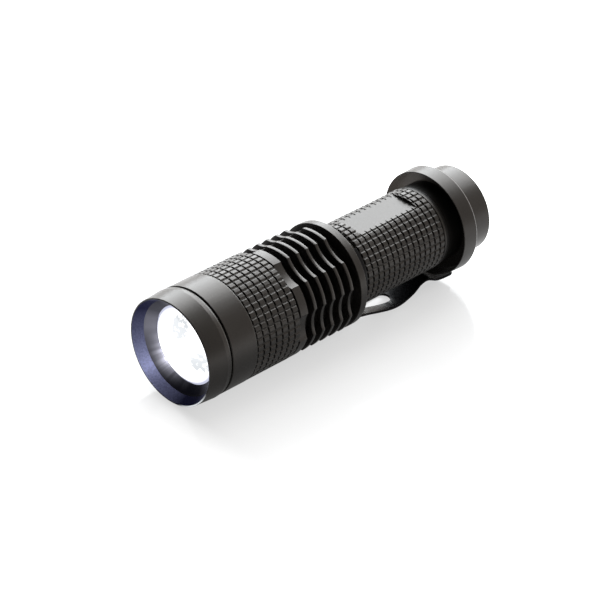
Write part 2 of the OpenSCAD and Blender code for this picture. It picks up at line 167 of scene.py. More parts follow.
def sewn(bm, verts, radii):
    """A face between two rings, split along its crease if the radii at its corners make it bent."""
    if abs(radii[0] - radii[2] + radii[3] - radii[1]) < 1e-4:
        bm.faces.new(verts)
    elif abs(radii[0] - radii[2]) > abs(radii[1] - radii[3]):
        bm.faces.new((verts[0], verts[1], verts[2]))
        bm.faces.new((verts[0], verts[2], verts[3]))
    else:
        bm.faces.new((verts[0], verts[1], verts[3]))
        bm.faces.new((verts[1], verts[2], verts[3]))


def turned(name, section, angles=None, shape=None, smooth_below=SMOOTH_BELOW):
    """A piece turned from a closed section. shape(r, angle, s) may cut its radius, as knurling does."""
    angles = angles or [360 * k / TURN_STEPS for k in range(TURN_STEPS)]
    bm = bmesh.new()
    rings = []
    for r, s in section:
        radii = [shape(r, a, s) if shape else r for a in angles]
        rings.append([(radius, bm.verts.new(spot(radius, a, s))) for radius, a in zip(radii, angles)])
    for i, one in enumerate(rings):
        after = (i + 1) % len(section)
        two = rings[after]
        if section[i][0] < ON_AXIS and section[after][0] < ON_AXIS:
            continue
        for k in range(len(angles)):
            n = (k + 1) % len(angles)
            radii, verts = zip(one[k], one[n], two[n], two[k])
            sewn(bm, verts, radii)
    return finish_mesh(name, bm, smooth_below)


def tube_along(name, points, wire, sides=12):
    """A round wire through points given in metres, with domed ends."""
    bm = bmesh.new()
    rings = []
    count = len(points)
    normal = None
    for i, point in enumerate(points):
        along = (points[min(i + 1, count - 1)] - points[max(i - 1, 0)]).normalized()
        normal = along.orthogonal() if normal is None else normal - along * normal.dot(along)
        normal.normalize()
        across = along.cross(normal)
        turns = [2 * math.pi * k / sides for k in range(sides)]
        rings.append([bm.verts.new(point + (normal * math.cos(a) + across * math.sin(a)) * wire * MM)
                      for a in turns])
    bridge(bm, rings)
    for ring, end, inner in ((rings[0], points[0], points[1]), (rings[-1], points[-1], points[-2])):
        tip = bm.verts.new(end + (end - inner).normalized() * wire * MM * 0.5)
        for k in range(sides):
            bm.faces.new((ring[k], ring[(k + 1) % sides], tip))
    return finish_mesh(name, bm, 60)


def box_mesh(name, low, high, bevel=0.08):
    """A block with rounded edges, between two corners in the torch's own x, station, height axes."""
    bm = bmesh.new()
    bmesh.ops.create_cube(bm, size=1)
    for vert in bm.verts:
        vert.co = [a + (b - a) * (c + 0.5) for a, b, c in zip(low, high, vert.co)]
    bmesh.ops.bevel(bm, geom=bm.edges[:], offset=bevel, segments=2, affect="EDGES", profile=0.5)
    for vert in bm.verts:
        x, s, height = vert.co
        vert.co = Vector((x * MM, LIP_Y + s * MM, AXIS_Z + height * MM))
    return finish_mesh(name, bm)


def joined(name, pieces):
    """Several pieces as one."""
    bm = bmesh.new()
    for piece in pieces:
        bm.from_mesh(piece.data)
        bpy.data.objects.remove(piece)
    return finish_mesh(name, bm)


def cut(obj, cutter, smooth_below):
    """obj with a cutter taken from it, as one clean mesh."""
    modifier = obj.modifiers.new("cut", "BOOLEAN")
    modifier.operation = "DIFFERENCE"
    modifier.solver = "EXACT"
    modifier.object = cutter
    bpy.context.view_layer.update()
    whole = obj.evaluated_get(bpy.context.evaluated_depsgraph_get())
    shape = bpy.data.meshes.new_from_object(whole)
    obj.modifiers.clear()
    obj.data = shape
    shade(shape, smooth_below)
    bpy.data.objects.remove(cutter)


def soften(obj, width, limit):
    """Rounds the edges of a clean mesh that turn by more than limit degrees."""
    bm = bmesh.new()
    bm.from_mesh(obj.data)
    inner = [e for e in bm.edges if len(e.link_faces) == 2]
    sharp = [e for e in inner if e.calc_face_angle(0) > math.radians(limit)]
    bmesh.ops.bevel(bm, geom=sharp, offset=width * MM, segments=2, affect="EDGES", profile=0.5,
                    clamp_overlap=True)
    bm.to_mesh(obj.data)
    bm.free()
    shade(obj.data, SMOOTH_BELOW)


def show(obj, body, slot, finish, *nodes):
    """Puts a finished piece on its body, with its finish, in place of CAD nodes; its slot argument is not
    used.
    """
    modifier = obj.modifiers.new("even_normals", "WEIGHTED_NORMAL")
    modifier.keep_sharp = True
    obj.data.materials.clear()
    obj.data.materials.append(finish)
    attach(obj, body)
    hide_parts(*nodes)


def paint(obj, finish, chosen):
    """Gives a second finish to the faces that chosen(radius, station, upward part of the normal) picks."""
    obj.data.materials.append(finish)
    index = len(obj.data.materials) - 1
    for polygon in obj.data.polygons:
        centre = polygon.center
        r = math.hypot(centre.x, centre.z - AXIS_Z) / MM
        s = (centre.y - LIP_Y) / MM
        if chosen(r, s, polygon.normal.z):
            polygon.material_index = index


# ---- Materials ----


def new_material(name):
    """A material, its node tree and its shader."""
    material = bpy.data.materials.new(name)
    material.use_nodes = True
    tree = material.node_tree
    return material, tree, tree.nodes["Principled BSDF"]


def noise(tree, scale, detail=4, stretch=(1, 1, 1)):
    """Noise of a real size: scale is features per metre, stretch squeezes it along an axis."""
    place = tree.nodes.new("ShaderNodeTexCoord")
    mapping = tree.nodes.new("ShaderNodeMapping")
    mapping.inputs["Scale"].default_value = stretch
    texture = tree.nodes.new("ShaderNodeTexNoise")
    texture.inputs["Scale"].default_value = scale
    texture.inputs["Detail"].default_value = detail
    tree.links.new(place.outputs["Object"], mapping.inputs["Vector"])
    tree.links.new(mapping.outputs["Vector"], texture.inputs["Vector"])
    return texture.outputs["Fac"]


def spread(tree, value, low, high, from_low=0.3, from_high=0.7):
    """Maps from_low to from_high onto low to high."""
    ranger = tree.nodes.new("ShaderNodeMapRange")
    ranger.inputs["From Min"].default_value = from_low
    ranger.inputs["From Max"].default_value = from_high
    ranger.inputs["To Min"].default_value = low
    ranger.inputs["To Max"].default_value = high
    tree.links.new(value, ranger.inputs["Value"])
    return ranger.outputs["Result"]


def tint(tree, value, dark, light, from_low=0.3, from_high=0.7):
    """A colour between two, by a value."""
    ramp = tree.nodes.new("ShaderNodeValToRGB")
    ramp.color_ramp.elements[0].position = from_low
    ramp.color_ramp.elements[0].color = (*dark, 1)
    ramp.color_ramp.elements[1].position = from_high
    ramp.color_ramp.elements[1].color = (*light, 1)
    tree.links.new(value, ramp.inputs["Fac"])
    return ramp.outputs["Color"]


def math_node(tree, operation, *values):
    """A math node whose inputs are sockets or numbers."""
    node = tree.nodes.new("ShaderNodeMath")
    node.operation = operation
    for value, socket in zip(values, node.inputs):
        if isinstance(value, (int, float)):
            socket.default_value = value
        else:
            tree.links.new(value, socket)
    return node.outputs["Value"]


def levels(tree, value, steps, low, high):
    """A grey level that follows (place, level) steps, with places between low and high."""
    ramp = tree.nodes.new("ShaderNodeValToRGB")
    elements = ramp.color_ramp.elements
    for i, (place, level) in enumerate(steps):
        at = (place - low) / (high - low)
        element = elements[i] if i < 2 else elements.new(at)
        element.position = at
        element.color = (level, level, level, 1)
    tree.links.new(spread(tree, value, 0, 1, low, high), ramp.inputs["Fac"])
    return ramp.outputs["Color"]


def bump(tree, shader, *layers):
    """Stacks bump layers, each (height value, depth in metres)."""
    normal = None
    for height, depth in layers:
        node = tree.nodes.new("ShaderNodeBump")
        node.inputs["Strength"].default_value = 1
        node.inputs["Distance"].default_value = depth
        tree.links.new(height, node.inputs["Height"])
        if normal:
            tree.links.new(normal, node.inputs["Normal"])
        normal = node.outputs["Normal"]
    tree.links.new(normal, shader.inputs["Normal"])


FINE_DEPTH = 0.000004


def lathe_marks(tree):
    """Noise that changes fast along the axis and slowly across it, like turning marks."""
    return noise(tree, 60, 4, (1, 260, 1))


def surface(tree, shader, colour, grain, smooth, rough):
    """Gives a shader its colour and a grainy roughness, and returns the grain for a bump."""
    fine = noise(tree, grain, 3)
    tree.links.new(colour, shader.inputs["Base Color"])
    tree.links.new(spread(tree, fine, smooth, rough), shader.inputs["Roughness"])
    return fine


def glow(tree, shader, colour, strength):
    """Lets a surface give off light of its own; on the cone, the skirt's wall, the lip and the floor this
    glow is painted light and shade.
    """
    tree.links.new(colour, shader.inputs["Emission Color"])
    shader.inputs["Emission Strength"].default_value = strength


def grained(name, dark, light, rough, metallic=0.0, grain=9000, grain_depth=FINE_DEPTH, cloud=160,
            turned_marks=0.0, specular=0.5, coat=0.0, gloss_tint=(1, 1, 1)):
    """A surface with a cloudy colour, a fine grain, and turning marks if it was made on a lathe."""
    material, tree, shader = new_material(name)
    colour = tint(tree, noise(tree, cloud, 5), dark, light)
    layers = [(surface(tree, shader, colour, grain, *rough), grain_depth)]
    shader.inputs["Metallic"].default_value = metallic
    shader.inputs["Specular IOR Level"].default_value = specular
    shader.inputs["Specular Tint"].default_value = (*gloss_tint, 1)
    shader.inputs["Coat Weight"].default_value = coat
    if turned_marks:
        layers.append((lathe_marks(tree), turned_marks))
    bump(tree, shader, *layers)
    return material


WARM_GLOSS = (1, 0.93, 0.88)
ANODISED = grained("black_anodised", (0.0042, 0.0038, 0.0034), (0.0075, 0.007, 0.0063), (0.3, 0.38),
                   turned_marks=0.000002, specular=0.235, gloss_tint=WARM_GLOSS)
ANODISED_INSIDE = grained("black_anodised_inside", (0.02, 0.0175, 0.0155), (0.028, 0.025, 0.022),
                          (0.16, 0.22), turned_marks=0.000003, specular=0.6, gloss_tint=WARM_GLOSS)
# A darker, duller copy of the anodised finish: painted shade.
CAVITY_PAINTED_SHADE = grained("cavity_painted_shade", (0.003, 0.0027, 0.0024), (0.005, 0.0045, 0.004), (0.35, 0.45),
                       turned_marks=0.000003, specular=0.1)
# A darker copy of the clip's finish with almost no gloss: painted shade.
CLIP_PAINTED_SHADE = grained("spring_steel_painted_shade", (0.0015, 0.0015, 0.0017), (0.003, 0.003, 0.0033), (0.4, 0.5),
                    grain=5000, specular=0.01)
CLIP_BLACK = grained("black_spring_steel", (0.0015, 0.0015, 0.002), (0.003, 0.003, 0.004), (0.2, 0.28),
                     grain=5000, specular=0.07)
RUBBER = grained("black_rubber", (0.012, 0.012, 0.013), (0.02, 0.02, 0.021), (0.6, 0.75), grain=4000,
                 grain_depth=0.00001, specular=0.35)
NYLON = grained("white_nylon", (0.68, 0.67, 0.63), (0.78, 0.77, 0.73), (0.4, 0.5), grain_depth=0.000002)
BRASS = grained("turned_brass", (0.62, 0.43, 0.17), (0.74, 0.54, 0.25), (0.22, 0.34), 1.0,
                turned_marks=0.000003)
PLATED = grained("nickel_plate", (0.58, 0.58, 0.58), (0.68, 0.67, 0.65), (0.18, 0.3), 1.0,
                 turned_marks=0.000001)
SPRING_STEEL = grained("spring_wire", (0.5, 0.5, 0.5), (0.62, 0.61, 0.6), (0.22, 0.32), 1.0)
SPRING_GOLD = grained("plated_spring_wire", (0.72, 0.52, 0.24), (0.82, 0.63, 0.33), (0.2, 0.3), 1.0)
BOARD_WHITE = grained("white_solder_mask", (0.74, 0.74, 0.71), (0.82, 0.82, 0.8), (0.25, 0.35), coat=0.2)
BOARD_GREEN = grained("green_solder_mask", (0.012, 0.075, 0.03), (0.02, 0.11, 0.045), (0.25, 0.35),
                      coat=0.2)
PART_BLACK = grained("moulded_part", (0.018, 0.018, 0.02), (0.03, 0.03, 0.032), (0.45, 0.6))
WIRE_RED = grained("red_insulation", (0.45, 0.015, 0.012), (0.55, 0.025, 0.02), (0.35, 0.45))
WIRE_BLACK = grained("black_insulation", (0.012, 0.012, 0.012), (0.02, 0.02, 0.02), (0.35, 0.45))
PLUNGER = grained("red_plunger", (0.42, 0.03, 0.02), (0.52, 0.05, 0.03), (0.4, 0.5))
PHOSPHOR = grained("phosphor", (0.8, 0.66, 0.14), (0.88, 0.75, 0.22), (0.5, 0.6))
JACKET = grained("cell_sleeve", (0.03, 0.07, 0.13), (0.04, 0.085, 0.16), (0.22, 0.3), cloud=90, coat=0.5)
JACKET_BAND = grained("cell_sleeve_band", (0.55, 0.42, 0.2), (0.62, 0.48, 0.24), (0.25, 0.33), 0.6,
                      cloud=90)


LAMP_SIDE = math.radians(-135)
HALF_TURN = 180
# Painted lamplight on the bevel: grey levels by angle from the lamp's side.
PAINTED_BEVEL_LIGHT = ((-180, 0.34), (-135, 0.26), (-105, 0.08), (-80, 0), (-60, 0.01), (-45, 0.145), (-30, 0.26),
                (-15, 0.49), (0, 1), (15, 0.55), (30, 0.27), (45, 0.145), (60, 0.08), (75, 0.02), (95, 0.02),
                (120, 0.14), (150, 0.28), (180, 0.34))
# Painted lamplight on the cone, and painted glare near the glass; the cone glows with both.
PAINTED_CONE_LIGHT = ((-180, 0.12), (-135, 0.1), (-105, 0.04), (-80, 0), (-45, 0), (-30, 0.001), (-15, 0.015),
               (0, 0.05), (15, 0.065), (30, 0.075), (45, 0.14), (60, 0.115), (75, 0.045), (95, 0.03),
               (130, 0.08), (180, 0.12))
PAINTED_GLARE_LEVELS = ((-180, 0), (-60, 0.005), (-45, 0.03), (-30, 0.1), (-15, 0.38), (0, 0.95), (15, 0.4),
                (30, 0.17), (45, 0.04), (60, 0.02), (75, 0.01), (180, 0))
# A painted highlight on the lip's edge, which glows.
PAINTED_LIP_HIGHLIGHT = ((-180, 0), (-113, 0), (-100, 0.7), (-80, 1), (-66, 0.6), (-58, 0), (180, 0))
# Painted light on one side of the skirt's cavity, which glows.
PAINTED_WALL_LIGHT = ((-180, 0), (-15, 0), (15, 1), (75, 1), (102, 0.65), (118, 0.2), (135, 0.03), (180, 0))
# How the painted glare fades away from the glass, by station.
GLASS_LEVELS = ((2.8, 0.06), (3.1, 0.12), (3.8, 0.36), (4.4, 0.75), (4.7, 1))
GLASS_SPAN = (2.5, 5)
CONE_LILAC = (0.72, 0.72, 0.85)
PAINTED_CONE_GLOW = 0.45
PAINTED_WALL_GLOW = 0.5
RAY_START = 437
RAYS_PER_DEGREE = 0.11


def axis(tree, letter, space="Object"):
    """One coordinate of a point, in metres when it is in the shared frame."""
    place = tree.nodes.new("ShaderNodeTexCoord")
    split = tree.nodes.new("ShaderNodeSeparateXYZ")
    tree.links.new(place.outputs[space], split.inputs["Vector"])
    return split.outputs[letter]


def diagonal(tree, one, two):
    """The length of a diagonal, from its two sides."""
    squares = [math_node(tree, "POWER", math_node(tree, "ABSOLUTE", side), 2) for side in (one, two)]
    return math_node(tree, "SQRT", math_node(tree, "ADD", *squares))


def lamp_angle(tree):
    """A point's angle round the axis from the side the lamplight falls on, in degrees."""
    height = math_node(tree, "SUBTRACT", axis(tree, "Z"), AXIS_Z)
    turn = math_node(tree, "ARCTAN2", axis(tree, "X"), height)
    turn = math_node(tree, "WRAP", math_node(tree, "SUBTRACT", turn, LAMP_SIDE), math.pi, -math.pi)
    return math_node(tree, "DEGREES", turn)


def by_angle(tree, steps):
    """A grey level that changes round the axis, by (degrees from the lamp's side, level) steps; it sets where
    painted light falls.
    """
    return levels(tree, lamp_angle(tree), steps, -HALF_TURN, HALF_TURN)


def by_station(tree, steps, span):
    """A grey level that changes along the axis, by (station, level) steps."""
    behind = math_node(tree, "DIVIDE", math_node(tree, "SUBTRACT", axis(tree, "Y"), LIP_Y), MM)
    return levels(tree, behind, steps, *span)


def by_radius(tree, steps, span):
    """A grey level that changes away from the axis, by (distance, level) steps."""
    height = math_node(tree, "SUBTRACT", axis(tree, "Z"), AXIS_Z)
    away = math_node(tree, "DIVIDE", diagonal(tree, axis(tree, "X"), height), MM)
    return levels(tree, away, steps, *span)


def bevel_painted_lamplight():
    """The black bevel inside the lip, with painted lilac lamplight that is brightest on the lamp's side."""
    material, tree, shader = new_material("bevel_painted_lamplight")
    clouds = spread(tree, noise(tree, 2600, 5), 0.75, 1.15)
    lit = math_node(tree, "MULTIPLY", by_angle(tree, PAINTED_BEVEL_LIGHT), clouds)
    colour = tint(tree, lit, (0.0008, 0.001, 0.015), (0.5, 0.535, 0.89), 0, 1)
    shader.inputs["Specular IOR Level"].default_value = 0.03
    bump(tree, shader, (surface(tree, shader, colour, 5000, 0.42, 0.52), 0.00001))
    return material


def painted_glare_streaks(tree):
    """Soft streaks of painted glare that run along the cone, by a noise that only changes round the axis."""
    rays = tree.nodes.new("ShaderNodeTexNoise")
    rays.noise_dimensions = "1D"
    rays.inputs["Scale"].default_value = RAYS_PER_DEGREE
    rays.inputs["Detail"].default_value = 2
    tree.links.new(math_node(tree, "ADD", lamp_angle(tree), RAY_START), rays.inputs["W"])
    return spread(tree, rays.outputs["Fac"], 0.65, 1.2, 0.36, 0.64)


def cone_painted_glare():
    """The dark wall round the lens, with painted lamplight and soft streaks of painted glare that fade away
    from the glass; all of it glows.
    """
    material, tree, shader = new_material("cone_painted_glare")
    near_glass = by_station(tree, GLASS_LEVELS, GLASS_SPAN)
    glare = math_node(tree, "MULTIPLY", by_angle(tree, PAINTED_GLARE_LEVELS), near_glass)
    glare = math_node(tree, "MULTIPLY", glare, painted_glare_streaks(tree))
    lit = math_node(tree, "ADD", by_angle(tree, PAINTED_CONE_LIGHT), glare)
    colour = tint(tree, lit, (0.0015, 0.0015, 0.003), CONE_LILAC, 0, 1)
    glow(tree, shader, colour, PAINTED_CONE_GLOW / CONE_LILAC[0])
    shader.inputs["Specular IOR Level"].default_value = 0.04
    bump(tree, shader, (surface(tree, shader, colour, 6000, 0.4, 0.5), FINE_DEPTH))
    return material


def skirt_wall_painted_light():
    """The cavity in front of the tail skirt, dark except for painted light, which glows, on one side of its
    wall.
    """
    material, tree, shader = new_material("skirt_wall_painted_light")
    clouds = spread(tree, noise(tree, 160, 5), 0.85, 1.1)
    lit = math_node(tree, "MULTIPLY", by_angle(tree, PAINTED_WALL_LIGHT), clouds)
    colour = tint(tree, lit, (0.003, 0.0027, 0.0024), (0.08, 0.0725, 0.065), 0, 1)
    glow(tree, shader, colour, PAINTED_WALL_GLOW)
    fine = surface(tree, shader, colour, 9000, 0.24, 0.3)
    shader.inputs["Specular IOR Level"].default_value = 0.15
    bump(tree, shader, (fine, FINE_DEPTH), (lathe_marks(tree), 0.000003))
    return material


def lip_painted_highlight():
    """The rounded edge of the lip, with a thin painted highlight low on one side, which glows."""
    material, tree, shader = new_material("lip_painted_highlight")
    line = by_angle(tree, PAINTED_LIP_HIGHLIGHT)
    colour = tint(tree, line, (0.005, 0.0045, 0.004), (0.3, 0.31, 0.32), 0, 1)
    glow(tree, shader, tint(tree, line, (0, 0, 0), (0.55, 0.58, 0.6), 0, 1), 1)
    shader.inputs["Specular IOR Level"].default_value = 0.2
    bump(tree, shader, (surface(tree, shader, colour, 5000, 0.3, 0.38), FINE_DEPTH))
    return material


LENS_GLOW = 2.0
MARKS = (((-0.2, 5.8), 3.9), ((6.8, -1.1), 3.7))
MARK_AT = 2.4
RIM_LEVELS = ((8.1, 0), (8.7, 0.5), (9.2, 1))
RIM_SPAN = (8, 10)
RIM_LILAC = (0.3, 0.31, 0.39)


def lamp_patches(tree):
    """Where the lamp's parts show through the glass: speckled patches that fade out at their edges."""
    place = tree.nodes.new("ShaderNodeTexCoord")
    veil = 0
    for (x, height), radius in MARKS:
        offset = tree.nodes.new("ShaderNodeVectorMath")
        offset.operation = "DISTANCE"
        tree.links.new(place.outputs["Object"], offset.inputs[0])
        offset.inputs[1].default_value = (x * MM, LIP_Y + MARK_AT * MM, AXIS_Z + height * MM)
        patch = spread(tree, offset.outputs["Value"], 1, 0, 0.5 * radius * MM, radius * MM)
        veil = math_node(tree, "MAXIMUM", patch, veil)
    speckle = spread(tree, noise(tree, 900, 3), 0.3, 1, 0.38, 0.58)
    return math_node(tree, "MULTIPLY", veil, speckle)


def lit_lens():
    """The lens with the lamp on: bright white, with two faint grey patches and a greyer rim."""
    material, tree, shader = new_material("lit_lens")
    colour = tint(tree, lamp_patches(tree), (1, 1, 1), (0.36, 0.375, 0.39), 0, 0.6)
    # Painted glare: on its side the rim stays white; elsewhere it turns a greyer lilac.
    far_side = math_node(tree, "SUBTRACT", 1, by_angle(tree, PAINTED_GLARE_LEVELS))
    edged = tree.nodes.new("ShaderNodeMix")
    edged.data_type = "RGBA"
    edged.inputs["B"].default_value = (*RIM_LILAC, 1)
    rim = math_node(tree, "MULTIPLY", by_radius(tree, RIM_LEVELS, RIM_SPAN), far_side)
    tree.links.new(rim, edged.inputs["Factor"])
    tree.links.new(colour, edged.inputs["A"])
    glow(tree, shader, edged.outputs["Result"], LENS_GLOW)
    speckle = spread(tree, noise(tree, 900, 3), 0, 1, 0.4, 0.54)
    glass = tint(tree, speckle, (0.03, 0.03, 0.032), (0.05, 0.05, 0.052), 0, 1)
    tree.links.new(glass, shader.inputs["Base Color"])
    tree.links.new(spread(tree, speckle, 0.05, 0.09, 0, 1), shader.inputs["Roughness"])
    shader.inputs["Coat Weight"].default_value = 0.6
    bump(tree, shader, (noise(tree, 900, 2), 0.0000005))
    return material


BEVEL = bevel_painted_lamplight()
CONE = cone_painted_glare()
LENS = lit_lens()
LIP = lip_painted_highlight()
SKIRT_WALL = skirt_wall_painted_light()

# ---- Head ----

LIP_R = 13.0
LIP_EDGE = 0.4
BEVEL_AT = 5.1
BEVEL_BACK = (11.55, 2.7)
CONE_FRONT = (11.25, 2.85)
CONE_BACK_AT = 4.6
GLASS_GAP = 0.07
JOINT_AT = 6.6
JOINT_GAP = 0.3
SPIGOT_R = 12.3
SPIGOT_END = 10.6
SEAT_R = 10.9
LENS_EDGE_R = 9.5
LENS_EDGE_AT = 4.9
LENS_RISE = 3
LENS_STEPS = 20
FLANGE_FRONT = 5.6
LENS_BACK = station("lens", 1)
LENS_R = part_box("lens")[1].x / MM
SLEEVE_LIP_R = 10.95
BUSHING_POCKET_R = 11.5
BUSHING_POCKET = (24.3, 27.5)
SLEEVE_BORE_R = 11.2
KNURL_DEPTH = 0.36
RING_GROOVE = ((0, KNURL_DEPTH), (0.16, KNURL_DEPTH), (0.24, 0.05), (0.27, 0), (0.32, 0))
LONG_GROOVE = ((0, 0.28), (0.1, 0.23), (0.2, 0.13), (0.3, 0.05), (0.42, 0), (0.47, 0))
KNURL_CLEAR = 0.05
KNURL_SMOOTH = 75
HEAD_KNURL_AT = 14.45
HEAD_ROWS = 7
HEAD_FLATS = 50
TUBE_KNURL_AT = 52.6
TUBE_KNURL_END = 78.4
TUBE_ROWS = 15
TUBE_FLATS = 38


def groove_lines(centre, groove, scale=1):
    """Places of a groove's lines, side to side. A groove is steps of (distance from its middle, depth)."""
    far_side = [centre + away * scale for away, depth in groove]
    near_side = [centre - away * scale for away, depth in groove[:0:-1]]
    return near_side + far_side


def lattice(start, end, rows):
    """Lines along a knurled stretch, at every ring groove."""
    pitch = (end - start) / rows
    return [line for i in range(rows + 1) for line in groove_lines(start + i * pitch, RING_GROOVE)]


def groove_depth(offset, groove):
    """How deep a groove is at a distance from its middle."""
    away = abs(offset)
    for (near, deep), (far, shallow) in zip(groove, groove[1:]):
        if away <= far:
            return deep + (shallow - deep) * max(away - near, 0) / (far - near)
    return 0


def knurl_angles(radius, flats):
    """Angles of the lattice lines round a knurled cylinder, with one more in the middle of each flat."""
    pitch = 360 / flats
    degrees_per_mm = math.degrees(1 / radius)
    angles = []
    for i in range(flats):
        centre = (i + 0.5) * pitch
        angles += groove_lines(centre, LONG_GROOVE, degrees_per_mm)
        angles.append(centre + pitch / 2)
    return angles


def knurl_shape(outer, flats, start, end, rows):
    """Radius of a knurled stretch from start to end; the rest of the piece keeps its own."""
    pitch = (end - start) / rows
    turn = 360 / flats

    def shape(r, angle, s):
        if r < outer - 0.001 or s < start - 1e-6 or s > end + 1e-6:
            return r
        round_offset = ((angle / turn) % 1 - 0.5) * turn * math.radians(1) * outer
        along = (s - start) / pitch
        along_offset = (along - round(along)) * pitch
        return r - max(groove_depth(round_offset, LONG_GROOVE), groove_depth(along_offset, RING_GROOVE))

    return shape

def bezel():
    """The front ring, with a painted highlight on its lip, painted lamplight on its bevel, and painted
    lamplight and glare streaks on the cone inside.
    """
    throat_r = LENS_EDGE_R + GLASS_GAP
    section = rounded([
        (LIP_R - LIP_EDGE, 0.05), (LIP_R - 0.2, 0), (LIP_R, 0.12), (BEZEL_R, BEVEL_AT),
        (BEZEL_R - 0.08, JOINT_AT - 0.5), (BEZEL_R - 0.2, JOINT_AT - 0.18), (BEZEL_R - 0.27, JOINT_AT - 0.04),
        (BEZEL_R - 0.31, JOINT_AT), (SPIGOT_R, JOINT_AT), (SPIGOT_R, SPIGOT_END), (SEAT_R, SPIGOT_END),
        (SEAT_R, LENS_EDGE_AT), (throat_r, LENS_EDGE_AT), (throat_r, CONE_BACK_AT), CONE_FRONT, BEVEL_BACK
    ], 0.08)
    obj = turned("bezel", section)
    show(obj, "head", "anodised_black", ANODISED, "bezel_ring")
    inside_r = LIP_R - 0.3
    bevel_end = BEVEL_BACK[1]
    paint(obj, BEVEL, lambda r, s, up: r < inside_r and s < bevel_end)
    paint(obj, CONE, lambda r, s, up: r < inside_r and bevel_end <= s < LENS_EDGE_AT)
    paint(obj, LIP, lambda r, s, up: inside_r <= r < LIP_R and s < 0.1)


def lens_front(r):
    """Station of the lens's domed front at a radius."""
    ball = (LENS_EDGE_R ** 2 + LENS_RISE ** 2) / (2 * LENS_RISE)
    return LENS_EDGE_AT - LENS_RISE + ball - math.sqrt(ball * ball - r * r)


def lens():
    """The domed lens and its flange."""
    radii = [LENS_EDGE_R * k / LENS_STEPS for k in range(LENS_STEPS + 1)]
    dome = [(r, lens_front(r)) for r in radii]
    rest = rounded([dome[-1], (LENS_EDGE_R, FLANGE_FRONT), (LENS_R, FLANGE_FRONT),
                    (LENS_R, LENS_BACK), (0, LENS_BACK)], 0.1, closed=False)
    show(turned("aspheric_lens", dome + rest[1:]), "head", "lens_clear", LENS, "lens")


def sleeve():
    """The knurled sleeve, with its bushing's pocket inside."""
    front = JOINT_AT + JOINT_GAP
    knurl_r = HEAD_R - 0.05
    pocket_front, pocket_back = BUSHING_POCKET
    lines = lattice(HEAD_KNURL_AT, SLEEVE_END, HEAD_ROWS)
    lines = [s for s in lines if s <= SLEEVE_END - KNURL_CLEAR]
    smooth_part = rounded([
        (SPIGOT_R, SPIGOT_END), (SPIGOT_R, front), (HEAD_R - 0.12, front), (HEAD_R, front + 0.15),
        (HEAD_R, HEAD_KNURL_AT - 0.36), (knurl_r, HEAD_KNURL_AT - 0.34)
    ], 0.1, closed=False)
    inner = [(SLEEVE_LIP_R, SLEEVE_END), (SLEEVE_LIP_R, pocket_back), (BUSHING_POCKET_R, pocket_back),
             (BUSHING_POCKET_R, pocket_front), (SLEEVE_BORE_R, pocket_front), (SLEEVE_BORE_R, SPIGOT_END)]
    knurled = [(knurl_r, s) for s in lines]
    section = smooth_part[:-1] + knurled + [(knurl_r - 0.3, SLEEVE_END)] + inner
    shape = knurl_shape(knurl_r, HEAD_FLATS, HEAD_KNURL_AT, SLEEVE_END, HEAD_ROWS)
    obj = turned("knurled_sleeve", section, knurl_angles(knurl_r, HEAD_FLATS), shape, KNURL_SMOOTH)
    show(obj, "head", "anodised_black", ANODISED, "head_sleeve")


# ---- Heat sink ----

FIN_R = 13.15
CORE_R = 10.4
NECK_R = 10.6
COLLAR_R = 11.1
SCALLOPS = 6
SCALLOP_R = 7.45
SCALLOP_FLOOR = 11.85
FINS = [(28.15, 30.45)] + [(32.37 + i * 2.925, 33.25 + i * 2.925) for i in range(5)]
FLANGE_R = 13.07
FLANGE = (47.3, 49.25)
PILL_R = 8.6
PILL_SEAT = 23.95
CELL_BORE_R = 7.6
THREAD_R = 9.15
TUBE_FRONT = 39
COLLAR_AT = 11.5
COLLAR_END = 17.25
SEAL_AT = 14.4
SEAL_HALF_W = 0.775
SEAL_FLOOR_R = 10
FIN_EDGE = 0.07
HOLLOW_STEPS = 9
LOBE_STEPS = 12
LOBE_PLACES = (0.3, *range(1, LOBE_STEPS), 11.7)
SINK_SMOOTH = 30


def scallop_edge(angle):
    """How far out the finned part reaches at an angle: the lobes' circle, or a scallop's hollow."""
    pitch = 360 / SCALLOPS
    off = math.radians(((angle / pitch) % 1 - 0.5) * pitch)
    centre = SCALLOP_FLOOR + SCALLOP_R
    inside = SCALLOP_R ** 2 - (centre * math.sin(off)) ** 2
    if inside <= 0:
        return FIN_R
    return min(FIN_R, centre * math.cos(off) - math.sqrt(inside))


def scalloped(r, angle, s):
    """A fin's radius at an angle. The collar, the core and the flange stay round."""
    if FINS[0][0] - 0.01 <= s <= FINS[-1][1] + 0.01 and r > NECK_R + 1:
        return scallop_edge(angle) - (FIN_R - r)
    return r


def scallop_angles():
    """Angles round the finned part: even steps in each hollow, then in the lobe after it."""
    centre = SCALLOP_FLOOR + SCALLOP_R
    reach = math.degrees(math.acos((FIN_R ** 2 + centre ** 2 - SCALLOP_R ** 2) / (2 * FIN_R * centre)))
    lobe = 360 / SCALLOPS - 2 * reach
    angles = []
    for i in range(SCALLOPS):
        middle = (i + 0.5) * 360 / SCALLOPS
        angles += [middle + reach * k / HOLLOW_STEPS for k in range(-HOLLOW_STEPS, HOLLOW_STEPS + 1)]
        angles += [middle + reach + lobe * k / LOBE_STEPS for k in LOBE_PLACES]
    return angles


def fin_points():
    """The outline of all fins, with softened rims."""
    points = []
    corner = FIN_EDGE * 0.3
    for front, back in FINS:
        points += [(CORE_R, front), (FIN_R - FIN_EDGE, front), (FIN_R - corner, front + corner),
                   (FIN_R, front + FIN_EDGE), (FIN_R, back - FIN_EDGE), (FIN_R - corner, back - corner),
                   (FIN_R - FIN_EDGE, back), (CORE_R, back)]
    return points


